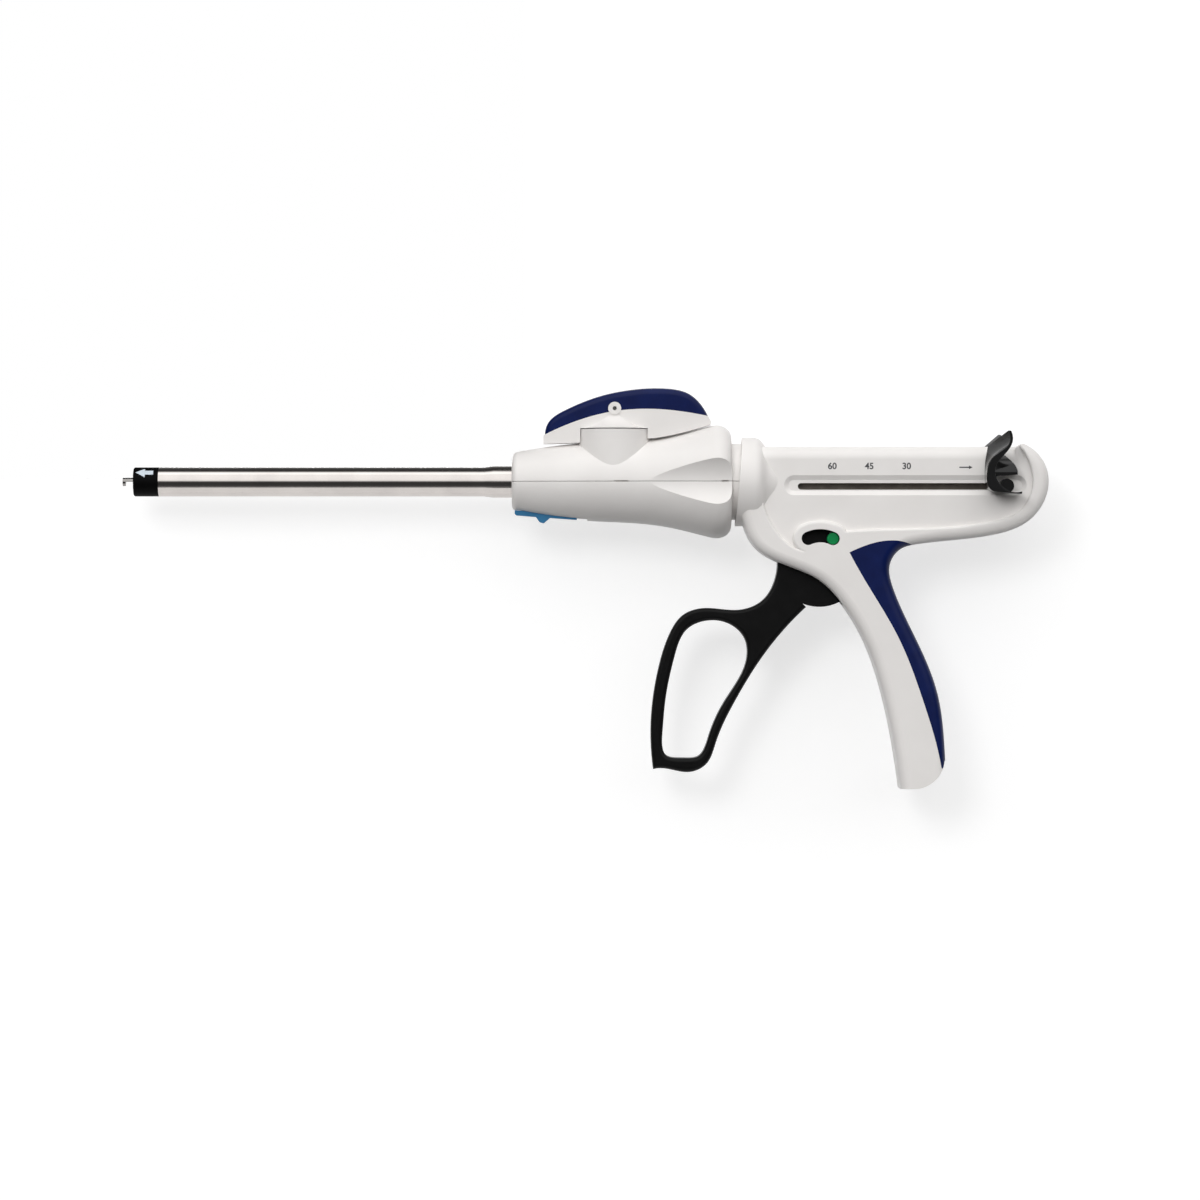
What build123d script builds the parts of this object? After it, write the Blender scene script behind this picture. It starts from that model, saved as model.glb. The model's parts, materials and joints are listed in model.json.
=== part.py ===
from build123d import *
import os
from math import cos, hypot, radians, sin

# Linear surgical stapler, reusable handle. Millimetres and degrees.
# The shaft lies along X with its tip towards -X, the grip hangs down -Z, and Y = 0 is the middle plane.
# The origin is the centre of the open face of the loading collar.

# Clearances
seat_gap = 0.03         # between pieces that are fixed together
pin_gap = 0.05          # radial, a pin in its bore
running_gap = 0.3       # between pieces that move past each other
overrun = 1.0           # how far a cutter runs past a face, or a joined body into its neighbour
cutter_reach = 150.0    # size of the cutters that take away all that lies on one side
seam_gap = 0.2          # shadow line between two moulded halves

# Shaft
shaft_radius = 6.0
tube_wall = 0.6
tube_seat_step = 0.3    # ground off the tube's end under the ferrule
shaft_length = 155.0    # collar face to knob nose
tube_seat = 19.5        # tube inside the knob
collar_length = 10.3
collar_seat = 7.7       # collar inside the tube
collar_edge = 0.8
socket_radius = 4.25
bayonet_radius = 5.1
bayonet_width = 2.4
bayonet_depth = 7.0
bayonet_turn = 60.0
ferrule_radius = 6.5
ferrule_reach = 11.1    # ahead of the knob nose
ferrule_seat = 5.0      # inside the knob
ferrule_edge = 0.1
flare_length = 3.3
core_setback = 3.5      # core end ahead of the tube end

# Control rod and its swivel end
rod_radius = 1.75
rod_reach = 4.5         # tip ahead of the collar face
rod_hook = 1.3          # length of the full-round tip
rod_guide_gap = 0.2
neck_rod_radius = 1.2
neck_rod_length = 2.4
head_rod_radius = 2.4
head_rod_length = 1.4

# Strips in the tube: articulation link above the rod, unload bar below it
strip_low = 3.5
strip_thickness = 1.2
strip_half_width = 1.7
strip_setback = 5.0     # strip tip behind the core front
link_riser_start = 24.0     # behind the knob nose
link_riser_length = 2.0
link_plate_low = 7.3
link_plate_thickness = 1.4
link_plate_side = 7.6
link_plate_back = 3.2

# Firing rack
rack_half_width = 3.6
rack_top = 3.2
rack_depth = 5.5
rack_inset = 15.0       # rack front behind the body datum
rack_tail = 4.2         # behind the cross pin
tooth_count = 15
tooth_pitch = 5.0
tooth_depth = 1.5
tooth_land = 1.2
tooth_start = 8.0

# Rotation knob, measured from its nose
knob_length = 89.8
knob_nose = [(0.0, 9.6), (0.8, 11.5), (2.6, 12.4)]
knob_front = [(2.6, 12.4), (13.5, 14.2), (36.0, 16.3)]
knob_flare = [(36.8, 17.2), (26.8, 18.5), (16.8, 20.7), (9.8, 22.5), (5.3, 23.1), (1.6, 21.6),
              (0.0, 18.2)]      # ahead of the knob end
knob_cavity_start = 34.0
knob_cavity_front = 12.8
knob_cavity_middle = 14.2
knob_cavity_rear = 15.4
knob_bend_setback = 36.8        # cavity bend ahead of the knob end
knob_end_wall = 5.8
pry_slots = [(42.0, 47.6, 15.6), (85.6, 88.4, 16.4)]    # start, end and floor of the slots in the seam
pry_slot_height = 0.7
flute_radius = 14.0
flute_floor = 17.6
turret_setback = 42.1   # lever axis behind the knob nose
turret_radius = 15.2
turret_top = 21.4
boss_radius = 8.0
neck_gap = 3.2          # knob end to body datum
neck_radius = 15.6
neck_bore = 12.0
flange_radius = 16.7
flange_start = 2.8      # behind the body datum
flange_thickness = 1.6

# Articulation lever, measured from the lever axis and the turret top
lever_swing = 45.0      # to each side
spindle_radius = 4.0
spindle_socket = 4.5
crank_radius = 5.0
crank_pin_radius = 1.2
crank_pin_gap = 0.35
crank_disc_radius = 6.6
crank_disc_thickness = 1.4
lever_gap = 0.4
turret_gap = 0.45       # lever legs to turret side
cover_top = [(-28.6, -2.5), (-26.6, 3.2), (-19.9, 7.7), (-6.2, 13.1), (7.4, 15.8), (20.9, 16.3),
             (30.5, 14.1), (36.6, 8.0), (38.2, 5.1)]
cover_bottom = [(38.2, 5.1), (24.3, 7.3), (10.8, 7.9), (-2.8, 6.5), (-16.5, 2.7), (-28.6, -2.5)]
base_front = [(-28.6, -2.5), (-29.2, -2.9), (-29.2, -6.3), (-15.0, -5.9), (15.0, -4.1), (16.0, -4.1)]
base_rear = [(16.0, -4.1), (24.3, -2.6), (31.1, -0.9), (39.2, 1.5)]
base_tail = [(39.2, 1.5), (39.5, 2.8), (38.2, 5.1)]
leaf_front = 4.0        # half-widths of the lever seen from above
leaf_middle = 8.2
leaf_rear = 4.5
leaf_crest = 4.0        # widest place behind the lever axis
skirt_profile = [(15.2, 0.0), (10.0, 2.6), (7.8, 7.0)]
cover_round = 2.5
cap_pin_level = 8.1
cap_pin_radius = 0.8
cap_tab_radius = 2.65
cap_tab_proud = 0.6

# Unload slider under the knob nose, measured from the nose
slider_outline = [(1.2, -11.6), (1.2, -13.2), (1.8, -13.75), (9.8, -14.4), (11.3, -16.5), (13.0, -17.0),
                  (15.6, -14.8), (26.6, -15.6), (26.6, -13.4)]
slider_half_width = 4.6
slider_travel = 4.0
slider_round = 0.6
stem_start = 8.0
stem_length = 12.0
stem_half_width = 2.6
stem_low = 12.6
foot_half_width = 4.2
foot_top = 9.0
foot_thickness = 1.4
latch_tab_length = 2.0
unload_spring_length = 10.0
unload_spring_level = 7.6
unload_spring_radius = 1.3
unload_wire_radius = 0.25
unload_spring_pitch = 2.0

# Body outline, measured from the body datum
body_front = [(0.4, -10.0), (1.3, -16.4), (7.0, -27.4), (18.5, -34.0), (32.9, -40.6), (41.5, -49.2),
              (50.2, -63.1), (59.1, -88.8), (65.7, -125.5), (66.8, -135.0)]
body_rear = [(84.0, -135.0), (84.2, -120.0), (83.6, -107.0), (81.0, -87.3), (72.2, -64.6), (62.7, -43.5),
             (61.4, -33.9), (65.7, -27.7), (72.0, -25.7), (86.2, -24.0), (104.6, -21.6), (117.6, -16.4),
             (125.0, -6.6), (125.9, 3.4), (121.8, 11.3), (115.6, 15.5)]
body_inside = [(115.6, 15.5), (112.4, 13.6), (112.4, 8.0), (9.0, 8.0), (9.0, -10.0), (0.4, -10.0)]
heel_line = [(50.0, -125.5), (72.2, -125.5)]
heel_arc = [(72.2, -125.5), (79.0, -122.6), (83.6, -114.0)]
heel_outside = [(83.6, -114.0), (95.0, -114.0), (95.0, -140.0), (50.0, -140.0), (50.0, -125.5)]
panel_rear = [(112.0, 16.0), (117.6, 8.2), (119.2, -1.6), (115.0, -11.1), (102.0, -16.4), (86.3, -18.5),
              (65.2, -19.3), (44.7, -20.1)]
panel_low = [(44.7, -20.1), (36.0, -24.0), (27.0, -28.4)]
panel_front = [(27.0, -28.4), (22.5, -27.0), (16.0, -21.5), (11.0, -13.0), (9.0, -4.0)]
panel_top = [(9.0, -4.0), (9.0, 16.0), (112.0, 16.0)]
body_half = 14.0
panel_half = 12.0
edge_round = 4.0
panel_round = 0.9
bar_top = 14.2
bar_bottom = -2.0
bar_round = 5.0
bar_start = 6.0
bar_end = 115.5
bell_radius = 18.2
bell_front = -4.0
bell_outline = [(5.4, 18.2), (8.6, 17.2), (11.3, 14.2), (15.0, 12.2), (20.0, 11.0)]
bell_tail_slope = -0.15
collar_lean = 4.55
collar_face = -0.15     # leaning front face where it crosses the shaft axis
groove_wall = 1.6
shell_wall = 4.6        # outline to cavity
cavity_half = 9.6
cavity_top = 11.6
cavity_start = 6.2
cavity_end = 110.7
throat_radius = 10.5

# Grip cover
cover_edge_front = [(82.3, -117.0), (81.0, -110.7), (74.3, -88.1), (64.8, -63.9), (52.4, -42.6),
                    (44.7, -29.0)]
cover_edge_top = [(44.7, -29.0), (52.4, -25.8), (59.0, -24.3), (64.2, -24.2), (70.7, -26.1)]
cover_outside = [(70.7, -26.1), (90.0, -30.0), (100.0, -117.0), (82.3, -117.0)]
cover_thickness = 2.2

# Slot, its recess and the retraction wings
slot_level = -2.05
slot_half_height = 1.35
slot_start = 23.8
slot_end = 112.0
recess_start = 18.1
recess_end = 117.1
recess_level = -1.6
recess_height = 8.2
recess_depth = 1.2
recess_slope = 1.9
cross_pin_setback = 108.3
cross_pin_radius = 1.2
wing_gap = 1.2          # wing off the panel
wing_span = 13.8
wing_pin_depth = 7.0
wing_root_front = [(-3.7, -2.7), (-7.6, -1.0), (-8.5, 5.0), (-8.3, 9.5), (-7.6, 14.0), (-7.2, 16.4)]
wing_root_rear = [(-5.4, 16.4), (-5.2, 13.0), (-5.2, 6.7), (-3.6, 1.1), (5.7, -2.4)]
wing_tip_front = [(-3.7, -2.7), (-7.6, -1.0), (-8.6, 5.0), (-6.7, 10.9), (-0.3, 16.0), (0.3, 22.4)]
wing_tip_rear = [(1.4, 22.3), (0.8, 15.2), (-5.2, 6.7), (-3.6, 1.1), (5.7, -2.4)]
wing_lip = [(5.7, -2.4), (5.6, -3.4), (-3.7, -2.7)]
wing_hub_radius = 2.9
wing_round = 0.2
gusset_edge = [(4.5, 4.6), (4.3, 6.8), (1.9, 10.4), (-0.7, 12.9)]
gusset_back = [(-0.7, 12.9), (-6.0, 9.0), (-6.0, 4.0), (4.5, 4.6)]
gusset_dome = [(0.0, 12.9), (4.4, 9.8), (6.0, 4.0)]     # off the wing's inner face

# Rack guides in the housing
guide_start = 16.0
guide_end = 117.0
guide_lip = 1.5
guide_overlap = 1.0

# Trigger, measured from its pivot
pivot_setback = 32.9
pivot_level = -34.0
pivot_pin_radius = 2.0
pivot_pin_half = 11.2
pivot_boss_radius = 4.5
trigger_half = 6.0
trigger_round = 1.5
hub_radius = 17.2
hub_opening = 1.6       # opening round the hub
trigger_front = [(-17.2, 0.5), (-17.9, -4.8), (-23.4, -14.6), (-33.0, -18.4), (-47.6, -17.7),
                 (-55.8, -20.5), (-61.4, -28.3), (-65.9, -42.1), (-68.9, -61.7), (-68.1, -83.6)]
trigger_rear = [(-68.1, -83.6), (-62.7, -83.4), (-53.5, -84.8), (-46.4, -81.6), (-42.4, -72.8),
                (-34.6, -55.8), (-24.7, -39.5), (-15.6, -27.7), (-5.5, -17.3)]
trigger_root = [(-12.0, -11.0), (-12.0, 0.5)]
trigger_loop = [(-64.2, -68.3), (-63.0, -55.2), (-59.1, -36.8), (-54.2, -26.4), (-46.4, -22.9),
                (-36.5, -24.4), (-30.6, -30.3), (-29.8, -38.2), (-38.5, -55.2), (-45.4, -70.1),
                (-49.7, -78.3), (-56.2, -79.0), (-62.7, -77.9)]

# Safety window and button, on an arc about the trigger pivot
window_radius = 11.8
window_left = -25.0     # from upright, towards the shaft
window_right = 26.0
window_height = 5.4
ring_band = 3.6
ring_round = 1.4
button_radius = 2.4
button_half = 12.8
button_dish = 0.5

# Drive pawl on the trigger and the pawl that holds the rack
pawl_pin_reach = 18.5
pawl_pin_angle = 47.0
pawl_pin_radius = 1.0
pawl_half = 1.8
pawl_base = 3.2
pawl_tip_reach = 26.6
pawl_tip_angle = 22.0
pawl_tip_back = 2.2
lug_radius = 4.6
holder_pin = (72.0, -14.0)
holder_tip = (61.5, -6.4)
holder_tip_back = 2.0
pawl_coil_radius = 1.65
pawl_coil_pitch = 0.7
pawl_coil_turns = 3.0
pawl_wire_radius = 0.25

# Return spring round the pivot
return_wire_radius = 0.5
return_coil_radius = 5.6
return_coil_pitch = 1.2
return_coil_turns = 2.0

# Derived places
tube_bore = shaft_radius - tube_wall
tube_seat_radius = shaft_radius - tube_seat_step
tube_end = shaft_length + tube_seat
ferrule_start = shaft_length - ferrule_reach
core_start = collar_length + collar_seat
core_end = tube_end - core_setback
knob_outline = knob_front + [(knob_length - ahead, radius) for ahead, radius in knob_flare]
knob_cavity_bend = knob_length - knob_bend_setback
knob_cavity_end = knob_length - knob_end_wall
body_datum = shaft_length + knob_length + neck_gap
rack_sweep = hypot(rack_half_width, rack_depth) + running_gap
strip_top = strip_low + strip_thickness
strip_tip = core_start + strip_setback
crank_disc_low = link_plate_low + link_plate_thickness + running_gap
crank_disc_top = crank_disc_low + crank_disc_thickness
link_travel = crank_radius * sin(radians(lever_swing))
lever_span = base_tail[1][0] - base_front[1][0]
lever_place = Pos(shaft_length + turret_setback, 0, turret_top + lever_gap)
knob_place = Pos(shaft_length, 0, 0)
body_place = Pos(body_datum, 0, 0)
pivot_place = Pos(body_datum + pivot_setback, 0, pivot_level)
wing_place = Pos(body_datum + cross_pin_setback, 0, slot_level)
wing_inner = panel_half + wing_gap


def rod_x(radius, start, end, y=0.0, z=0.0):
    """Round bar along X."""
    return Pos((start + end) / 2, y, z) * Rot(0, 90, 0) * Cylinder(radius, end - start)


def rod_y(radius, start, end, x=0.0, z=0.0):
    """Round bar along Y."""
    return Pos(x, (start + end) / 2, z) * Rot(90, 0, 0) * Cylinder(radius, end - start)


def rod_z(radius, start, end, x=0.0, y=0.0):
    """Round bar along Z."""
    return Pos(x, y, (start + end) / 2) * Cylinder(radius, end - start)


def block(x_start, x_end, y_start, y_end, z_start, z_end):
    """Box between two corners."""
    middle = Pos((x_start + x_end) / 2, (y_start + y_end) / 2, (z_start + z_end) / 2)
    return middle * Box(x_end - x_start, y_end - y_start, z_end - z_start)


def both_sides(half):
    """The same piece on both sides of the middle plane."""
    return half + mirror(half, Plane.XZ)


def slab(face, y_start, y_end):
    """A side-view face made thick from y_start to y_end."""
    return Pos(0, y_end, 0) * extrude(Plane.XZ * face, y_end - y_start)


def prism(face, half_width):
    """A side-view face made thick to both sides of the middle plane."""
    return slab(face, -half_width, half_width)


def polygon(points):
    """Closed face with straight sides."""
    return make_face(Polyline(*points, close=True).edges())


def polar(reach, angle):
    """Point at a distance from the pivot, with the angle taken from upright."""
    return (reach * sin(radians(angle)), reach * cos(radians(angle)))


def inset(points, distance):
    """Outline points moved inwards along the normal of the chord between their neighbours."""
    moved = []
    last = len(points) - 1
    for index, (x, z) in enumerate(points):
        before = points[max(index - 1, 0)]
        after = points[min(index + 1, last)]
        run_x = after[0] - before[0]
        run_z = after[1] - before[1]
        length = hypot(run_x, run_z)
        moved.append((x - run_z / length * distance, z + run_x / length * distance))
    return moved


# Shaft pieces


def shaft_tube():
    """Tube with its free length at full size and the part under the ferrule ground down for its seat."""
    tube = rod_x(shaft_radius, collar_length, ferrule_start)
    tube += rod_x(tube_seat_radius, ferrule_start, tube_end)
    return tube - rod_x(tube_bore, collar_length - overrun, tube_end + overrun)


def tube_ferrule():
    inner = tube_seat_radius + seat_gap
    start = ferrule_start + seat_gap
    end = shaft_length + ferrule_seat
    profile = [(start, inner), (start, shaft_radius + ferrule_edge), (start + flare_length, ferrule_radius),
               (end, ferrule_radius), (end, inner)]
    return revolve(Plane.XZ * polygon(profile), Axis.X)


def bayonet_slot():
    """One groove of the bayonet: straight in, then part of a turn."""
    entry = block(-overrun, bayonet_depth, 0, bayonet_radius, -bayonet_width / 2, bayonet_width / 2)
    turn_start = bayonet_depth - bayonet_width
    inner = socket_radius / 2
    turn_face = polygon([(turn_start, inner), (bayonet_depth, inner), (bayonet_depth, bayonet_radius),
                         (turn_start, bayonet_radius)])
    turn = revolve(Plane.XY * turn_face, Axis.X, revolution_arc=bayonet_turn)
    return (entry & rod_x(bayonet_radius, -overrun, bayonet_depth + overrun)) + turn


def loading_collar():
    barrel = rod_x(shaft_radius - pin_gap, 0, collar_length)
    barrel = fillet(barrel.edges().group_by(Axis.X)[0], collar_edge)
    spigot = rod_x(tube_bore - seat_gap, collar_length - overrun, core_start)
    collar = barrel + spigot - rod_x(socket_radius, -overrun, core_start + overrun)
    slot = bayonet_slot()
    return collar - slot - Rot(180, 0, 0) * slot


def shaft_core():
    channel = strip_half_width + running_gap
    start = core_start - overrun
    end = core_end + overrun
    core = rod_x(tube_bore - seat_gap, core_start, core_end)
    core -= rod_x(rod_radius + rod_guide_gap, start, end)
    for side in (1, -1):
        floor = side * (strip_low - running_gap)
        top = side * shaft_radius
        core -= block(start, end, -channel, channel, min(floor, top), max(floor, top))
    return core


def control_rod():
    shoulder = body_datum + rack_inset - running_gap
    neck_end = shoulder + neck_rod_length
    rod = rod_x(rod_radius, -rod_reach, shoulder)
    rod += rod_x(neck_rod_radius, shoulder - overrun, neck_end + overrun)
    rod += rod_x(head_rod_radius, neck_end, neck_end + head_rod_length)
    notch = block(rod_hook - rod_reach, 0, -rod_radius, rod_radius, -rod_radius, 0)
    return rod - notch


def articulation_link():
    riser_start = shaft_length + link_riser_start
    riser_end = riser_start + link_riser_length
    axis_x = shaft_length + turret_setback
    plate_top = link_plate_low + link_plate_thickness
    strip = block(strip_tip, riser_end, -strip_half_width, strip_half_width, strip_low, strip_top)
    riser = block(riser_start, riser_end, -strip_half_width, strip_half_width, strip_low, plate_top)
    arm = block(riser_start, axis_x + link_plate_back, -strip_half_width, strip_half_width,
                link_plate_low, plate_top)
    ear = block(axis_x - link_plate_back, axis_x + link_plate_back, -strip_half_width, link_plate_side,
                link_plate_low, plate_top)
    reach = crank_pin_radius + crank_pin_gap
    slot = block(axis_x - reach, axis_x + reach, crank_radius * cos(radians(lever_swing)) - reach,
                 crank_radius + reach, link_plate_low - overrun, plate_top + overrun)
    return strip + riser + arm + ear - slot


def unload_latch_bar():
    tab_start = shaft_length + stem_start + stem_length
    tab_end = tab_start + latch_tab_length
    foot_low = -foot_top - foot_thickness
    bar = block(strip_tip, tab_end, -strip_half_width, strip_half_width, -strip_top, -strip_low)
    tab = block(tab_start, tab_end, -strip_half_width, strip_half_width, foot_low, -strip_low)
    return bar + tab


# Rotation knob


def knob_barrel():
    nose = ThreePointArc(*knob_nose)
    side = Spline(*knob_outline)
    end_x, end_r = knob_outline[-1]
    closing = Polyline((end_x, end_r), (end_x, 0), (0, 0), knob_nose[0])
    return revolve(Plane.XZ * make_face([nose, side, *closing.edges()]), Axis.X)


def knob_hollow():
    """Room inside the knob, with the boss for the lever spindle left standing."""
    flange_end = knob_length + neck_gap + flange_start + flange_thickness
    rear_bore = [(knob_cavity_start, 0), (knob_cavity_start, knob_cavity_front),
                 (knob_cavity_bend, knob_cavity_middle), (knob_cavity_end, knob_cavity_rear),
                 (knob_cavity_end, 0)]
    hollow = revolve(Plane.XZ * polygon(rear_bore), Axis.X)
    hollow -= rod_z(boss_radius, crank_disc_top + running_gap, turret_top, turret_setback)
    hollow += rod_z(spindle_radius + pin_gap, 0, turret_top + overrun, turret_setback)
    hollow += rod_x(neck_bore, knob_cavity_end - overrun, flange_end + overrun)
    hollow += rod_x(rack_sweep, tube_seat, knob_cavity_end)
    return hollow


def knob_pockets():
    """Seats for the tube and its ferrule, and room for the link, the slider and its spring."""
    room = strip_half_width + running_gap
    front = tube_seat + seat_gap
    spring_end = stem_start + stem_length + latch_tab_length + unload_spring_length
    pockets = rod_x(ferrule_radius + seat_gap, -overrun, ferrule_seat + seat_gap)
    pockets += rod_x(tube_seat_radius + seat_gap, 0, front)
    riser_back = link_riser_start + link_riser_length + link_travel + running_gap
    plate_roof = link_plate_low + link_plate_thickness + running_gap
    pockets += block(front - overrun, riser_back, -room, room, 0, plate_roof)
    pockets += block(riser_back - overrun, knob_cavity_start + overrun, -room, room, 0, plate_roof)
    foot_low = foot_top + foot_thickness + running_gap
    pockets += block(front - overrun, spring_end, -room, room, -foot_low, 0)
    stem_end = stem_start + stem_length + slider_travel + running_gap
    stem_side = stem_half_width + running_gap
    foot_side = foot_half_width + running_gap
    pockets += block(stem_start - running_gap, stem_end, -stem_side, stem_side, -cutter_reach, -foot_top)
    pockets += block(stem_start - running_gap, stem_end, -foot_side, foot_side, -foot_low, 0)
    return pockets


def slider_recess():
    """Shallow bed for the unload slider, longer than the slider by its travel."""
    front_x, front_z = slider_outline[0]
    back_x, back_z = slider_outline[-1]
    fall = (back_z - front_z) / (back_x - front_x)
    start = front_x - running_gap
    end = back_x + slider_travel + running_gap
    floor = [(start, front_z + running_gap), (end, back_z + running_gap + fall * slider_travel)]
    below = [(end, -cutter_reach), (start, -cutter_reach)]
    return prism(polygon([*floor, *below]), slider_half_width + running_gap)


def lever_room():
    """Room that the lever's underside sweeps over the flare of the knob."""
    under = [(x, turret_top + lever_gap + z - running_gap) for x, z in base_rear]
    inner = (turret_radius, under[0][1])
    closing = Polyline(under[-1], (under[-1][0], cutter_reach), (turret_radius, cutter_reach), inner, under[0])
    profile = make_face([Spline(*under), *closing.edges()])
    return Pos(turret_setback, 0, 0) * revolve(Plane.XZ * profile, Axis.Z)


def seam_slots():
    """Slots along the seam for prising the halves apart."""
    slots = []
    for start, end, floor in pry_slots:
        slots.append(block(start, end, floor, cutter_reach, -pry_slot_height / 2, pry_slot_height / 2))
    return both_sides(slots[0] + slots[1])


def knob_body():
    knob = knob_barrel() + rod_z(turret_radius, 0, turret_top, turret_setback)
    flange_end = knob_length + neck_gap + flange_start + flange_thickness
    knob += rod_x(neck_radius, knob_cavity_end, flange_end)
    knob += rod_x(flange_radius, flange_end - flange_thickness, flange_end)
    flute = rod_x(flute_radius, 0, knob_length, y=flute_floor + flute_radius)
    knob -= both_sides(flute)
    knob -= lever_room() + seam_slots()
    return knob - knob_hollow() - knob_pockets() - slider_recess()


def unload_button():
    plate = prism(polygon(slider_outline), slider_half_width)
    plate = fillet(plate.edges().filter_by(GeomType.LINE).group_by(Axis.Z)[0], slider_round)
    stem_end = stem_start + stem_length
    foot_low = -foot_top - foot_thickness
    stem = block(stem_start, stem_end, -stem_half_width, stem_half_width, -stem_low, -foot_top)
    foot = block(stem_start, stem_end, -foot_half_width, foot_half_width, foot_low, -foot_top)
    return plate + stem + foot


def coil(radius, wire_radius, pitch, turns):
    """Helical spring along Z from the origin."""
    path = Helix(pitch, pitch * turns, radius)
    section = Plane(path @ 0, z_dir=path % 0) * Circle(wire_radius)
    return sweep(section, path=path)


def unload_spring():
    start = stem_start + stem_length + latch_tab_length + unload_wire_radius
    turns = (unload_spring_length - 2 * unload_wire_radius) / unload_spring_pitch
    spring = coil(unload_spring_radius, unload_wire_radius, unload_spring_pitch, turns)
    return Pos(start, 0, -unload_spring_level) * Rot(0, 90, 0) * spring


# Articulation lever


def lever_leaf():
    """Plan view of the lever, tall enough to cut both of its pieces."""
    front_x = base_front[1][0]
    rear_x = base_tail[1][0]
    sides = []
    for side in (1, -1):
        sides.append(ThreePointArc((front_x, side * leaf_front), (leaf_crest, side * leaf_middle),
                                   (rear_x, side * leaf_rear)))
    front_end = Line((front_x, -leaf_front), (front_x, leaf_front))
    rear_end = Line((rear_x, -leaf_rear), (rear_x, leaf_rear))
    height = turret_top
    return Pos(0, 0, -height) * extrude(make_face([*sides, front_end, rear_end]), 2 * height)


def cap_pin_hole(radius):
    return rod_y(radius, -turret_radius, turret_radius, 0, cap_pin_level)


def cap_tabs():
    return both_sides(rod_y(cap_tab_radius, leaf_middle / 2, leaf_middle + cap_tab_proud, 0, cap_pin_level))


def lever_base():
    edges = [*Polyline(*base_front).edges(), Spline(*base_rear), *Polyline(*base_tail).edges(),
             Spline(*cover_bottom)]
    side_view = prism(make_face(edges), turret_radius)
    skirt_edges = [Spline(*skirt_profile)]
    skirt_edges += Polyline(skirt_profile[-1], (0, skirt_profile[-1][1]), (0, 0), skirt_profile[0]).edges()
    skirt = revolve(Plane.XZ * make_face(skirt_edges), Axis.Z)
    base = side_view & (lever_leaf() + skirt)
    base -= rod_z(turret_radius + turret_gap, -turret_top, 0)
    base += cap_tabs()
    base -= cap_pin_hole(cap_pin_radius + pin_gap)
    return base - rod_z(spindle_radius + seat_gap, -overrun, spindle_socket)


def lever_cover():
    side_view = prism(make_face([Spline(*cover_top), Spline(*cover_bottom)]), turret_radius)
    cap = side_view & lever_leaf()
    long_edges = cap.edges().filter_by(lambda edge: edge.length > lever_span / 2)
    top_edges = long_edges.group_by(Axis.Z)[-1]
    cap = fillet(top_edges, cover_round)
    tab_start = leaf_middle / 2 - seat_gap
    tab_room = rod_y(cap_tab_radius + seat_gap, tab_start, turret_radius, 0, cap_pin_level)
    return cap - both_sides(tab_room) - cap_pin_hole(cap_pin_radius + pin_gap)


def lever_cover_pin():
    return rod_y(cap_pin_radius, -leaf_middle, leaf_middle, 0, cap_pin_level)


def lever_spindle():
    """Upright shaft with the crank disc and pin, in the shaft's own frame."""
    spindle = rod_z(spindle_radius, crank_disc_low, turret_top + lever_gap + spindle_socket - running_gap)
    spindle += rod_z(crank_disc_radius, crank_disc_low, crank_disc_top)
    return spindle + rod_z(crank_pin_radius, link_plate_low, crank_disc_top, 0, crank_radius)


# Housing


def outline_face(depth):
    """Side view of the body, moved inwards by a depth."""
    front = inset(body_front, depth)
    rear = inset(body_rear, depth)
    inside = Polyline(rear[-1], *body_inside[1:-1], front[0])
    return make_face([Spline(*front), Line(front[-1], rear[0]), Spline(*rear), *inside.edges()])


def heel_cutter():
    edges = [Line(*heel_line), ThreePointArc(*heel_arc), *Polyline(*heel_outside).edges()]
    return prism(make_face(edges), body_half + overrun)


def outer_frame():
    """Rim, front and grip with rounded edges, before the side panels are sunk."""
    frame = prism(outline_face(0.0), body_half)
    frame = fillet(curved_side_edges(frame), edge_round)
    return frame - heel_cutter()


def side_pocket():
    """Room over the left panel, outside panel_half."""
    edges = [Spline(*panel_rear), *Polyline(*panel_low).edges(), Spline(*panel_front),
             *Polyline(*panel_top).edges()]
    return slab(make_face(edges), panel_half, body_half + overrun)


def upper_bar():
    section = Rectangle(2 * panel_half, bar_top - bar_bottom)
    section = fillet(section.vertices().group_by(Axis.Y)[-1], bar_round)
    bar = extrude(Plane.YZ * Pos(0, (bar_top + bar_bottom) / 2) * section, bar_end - bar_start)
    return Pos(bar_start, 0, 0) * bar


def bell():
    curve = Spline(*bell_outline, tangents=[(1, 0), (1, bell_tail_slope)])
    tail_x, tail_r = bell_outline[-1]
    front = [(bell_front, 0), (bell_front, bell_radius)]
    closing = Polyline((tail_x, tail_r), (tail_x, 0), *front, bell_outline[0])
    return revolve(Plane.XZ * make_face([curve, *closing.edges()]), Axis.X)


def window_face(height):
    left = polar(window_radius, window_left)
    middle = polar(window_radius, (window_left + window_right) / 2)
    right = polar(window_radius, window_right)
    return Pos(pivot_setback, pivot_level) * SlotArc(ThreePointArc(left, middle, right), height)


def window_ring():
    ring = slab(window_face(window_height + 2 * ring_band), cavity_half, body_half)
    return fillet(ring.edges().group_by(Axis.Y)[-1], ring_round)


def recess():
    """Sloping recess round the slot, in one panel."""
    middle = (recess_start + recess_end) / 2
    length = recess_end - recess_start
    sections = []
    for depth, margin in ((recess_depth, recess_slope), (-recess_depth, -recess_slope)):
        face = SlotOverall(length - 2 * margin, recess_height - 2 * margin)
        place = Pos(middle, panel_half - depth, recess_level)
        sections.append(place * (Plane.XZ * face))
    return loft(sections)


def slot_cutter():
    length = slot_end - slot_start
    face = Pos((slot_start + slot_end) / 2, slot_level) * SlotOverall(length, 2 * slot_half_height)
    return prism(face, body_half)


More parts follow.
